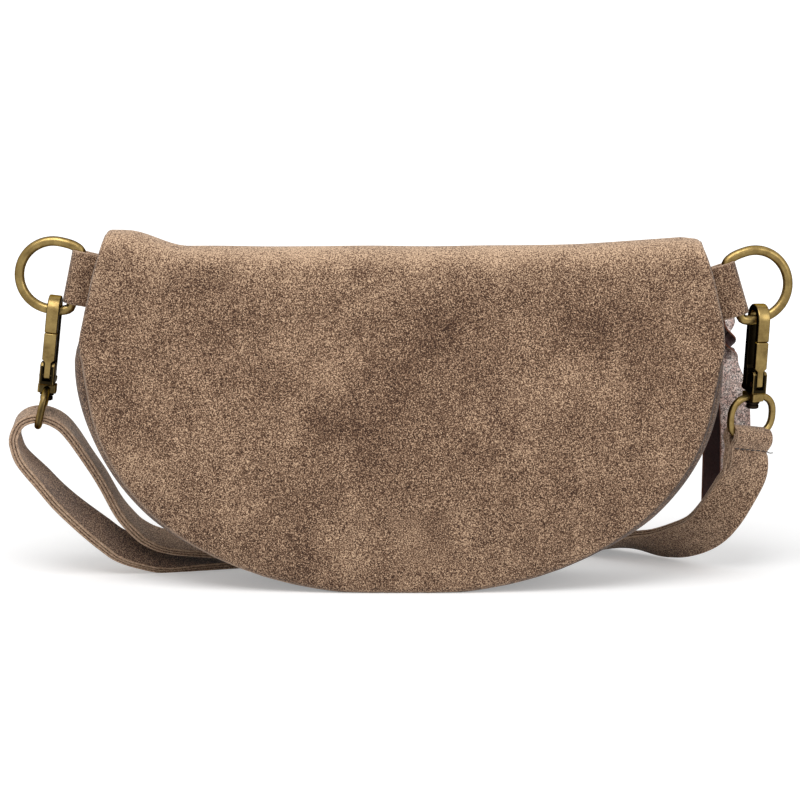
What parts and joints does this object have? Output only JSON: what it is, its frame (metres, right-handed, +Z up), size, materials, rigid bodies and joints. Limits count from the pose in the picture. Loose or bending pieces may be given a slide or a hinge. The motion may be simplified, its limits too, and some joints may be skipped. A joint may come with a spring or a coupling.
{
  "type": "belt bag",
  "caption": "Half-moon suede belt bag with a zip on its far side, D-rings in side tabs, swivel clasps and one adjustable strap lying behind it.",
  "frame": {"origin": "middle of the flat underside the bag stands on", "axes": "+X to the right of the plain panel, +Y from the plain panel to the zip panel, +Z up"},
  "size_m": [0.3453, 0.1061, 0.1526],
  "materials": {
    "suede": "matte",
    "lining": "matte",
    "zip_tape": "matte",
    "antique_brass": "satin",
    "spring_steel": "satin",
    "metallic_leather": "satin"
  },
  "bodies": {
    "bag": {"main_panel": "suede", "far_panel": "suede", "gusset": "suede", "lining": "lining", "inner_pocket": "lining", "zip_tape_upper": "zip_tape", "zip_tape_lower": "zip_tape", "zip_teeth_upper": "antique_brass", "zip_teeth_lower": "antique_brass", "zip_top_stop_upper": "antique_brass", "zip_top_stop_lower": "antique_brass", "zip_bottom_stop": "antique_brass", "tab_left": "suede", "tab_right": "suede", "strap_outer_run_left": "suede", "strap_inner_run_left": "suede", "strap_fixed_floor": "suede", "strap_running_floor": "suede", "strap_run_right": "suede"},
    "slider": {"zip_slider": "antique_brass"},
    "puller": {"zip_puller": "antique_brass"},
    "pull": {"pull_strip": "metallic_leather"},
    "adjuster": {"strap_buckle": "antique_brass", "strap_sewn_end": "suede"},
    "ring_left": {"d_ring_left": "antique_brass"},
    "clasp_left": {"clasp_hook_left": "antique_brass", "gate_pin_left": "spring_steel", "gate_spring_left": "spring_steel", "swivel_rivet_left": "antique_brass"},
    "gate_left": {"clasp_gate_left": "antique_brass"},
    "ring_right": {"d_ring_right": "antique_brass"},
    "clasp_right": {"clasp_hook_right": "antique_brass", "gate_pin_right": "spring_steel", "gate_spring_right": "spring_steel", "swivel_rivet_right": "antique_brass"},
    "gate_right": {"clasp_gate_right": "antique_brass"},
    "swivel_left": {"swivel_eye_left": "antique_brass", "strap_turn_left": "suede"},
    "swivel_right": {"swivel_eye_right": "antique_brass", "strap_fold_right": "suede"}
  },
  "joints": [
    {"name": "zip_slide", "type": "slide", "parent": "bag", "child": "slider", "axis": [1, 0, 0], "range_m": [-0.235, 0], "deforming": ["zip_teeth_upper", "zip_teeth_lower", "zip_tape_upper", "zip_tape_lower"]},
    {"name": "puller_hinge", "type": "hinge", "parent": "slider", "child": "puller", "pos_m": [0.1195, 0.02595, 0.112], "axis": [0, 0, 1], "range_deg": [-3, 112]},
    {"name": "pull_swing", "type": "hinge", "parent": "puller", "child": "pull", "pos_m": [0.14684, 0.04371, 0.112], "axis": [-0.5446, 0.8387, 0], "range_deg": [-45, 10]},
    {"name": "adjuster_slide", "type": "slide", "parent": "bag", "child": "adjuster", "axis": [0.963, 0.2696, 0], "range_m": [-0.012, 0.06], "deforming": ["strap_fixed_floor", "strap_running_floor"]},
    {"name": "ring_left_hinge", "type": "hinge", "parent": "bag", "child": "ring_left", "pos_m": [-0.14222, 0.00776, 0.13272], "axis": [-0.2079, 0, -0.9781], "range_deg": [-45, 45], "deforming": ["strap_outer_run_left", "strap_inner_run_left"]},
    {"name": "clasp_left_swing", "type": "hinge", "parent": "ring_left", "child": "clasp_left", "pos_m": [-0.15197, 0.00776, 0.11953], "axis": [-0.9893, 0, 0.1459], "range_deg": [-60, 60], "deforming": ["strap_outer_run_left", "strap_inner_run_left"]},
    {"name": "gate_left_hinge", "type": "hinge", "parent": "clasp_left", "child": "gate_left", "pos_m": [-0.15526, 0.00408, 0.091], "axis": [0.9935, 0, -0.1142], "range_deg": [0, 18], "stiffness_Nm_per_rad": 0.02, "springref_deg": -11.46, "deforming": ["gate_spring_left"]},
    {"name": "swivel_left_turn", "type": "hinge", "parent": "clasp_left", "child": "swivel_left", "pos_m": [-0.15589, 0.00946, 0.08549], "axis": [0.1141, -0.0496, 0.9922], "range_deg": [-60, 60], "deforming": ["strap_outer_run_left", "strap_inner_run_left"]},
    {"name": "ring_right_hinge", "type": "hinge", "parent": "bag", "child": "ring_right", "pos_m": [0.14544, 0.00776, 0.12768], "axis": [-0.2924, 0, 0.9563], "range_deg": [-55, 20], "deforming": ["strap_run_right"]},
    {"name": "clasp_right_swing", "type": "hinge", "parent": "ring_right", "child": "clasp_right", "pos_m": [0.15688, 0.00906, 0.11552], "axis": [-0.9523, -0.1735, -0.2511], "range_deg": [-15, 60], "deforming": ["strap_run_right"]},
    {"name": "gate_right_hinge", "type": "hinge", "parent": "clasp_right", "child": "gate_right", "pos_m": [0.15733, 0.00656, 0.08668], "axis": [0.9396, 0.342, -0.0149], "range_deg": [0, 18], "stiffness_Nm_per_rad": 0.02, "springref_deg": -11.46, "deforming": ["gate_spring_right"]},
    {"name": "swivel_right_turn", "type": "hinge", "parent": "clasp_right", "child": "swivel_right", "pos_m": [0.15534, 0.01179, 0.08137], "axis": [0.0448, -0.0797, 0.9958], "range_deg": [-60, 60], "deforming": ["strap_run_right"]}
  ]
}
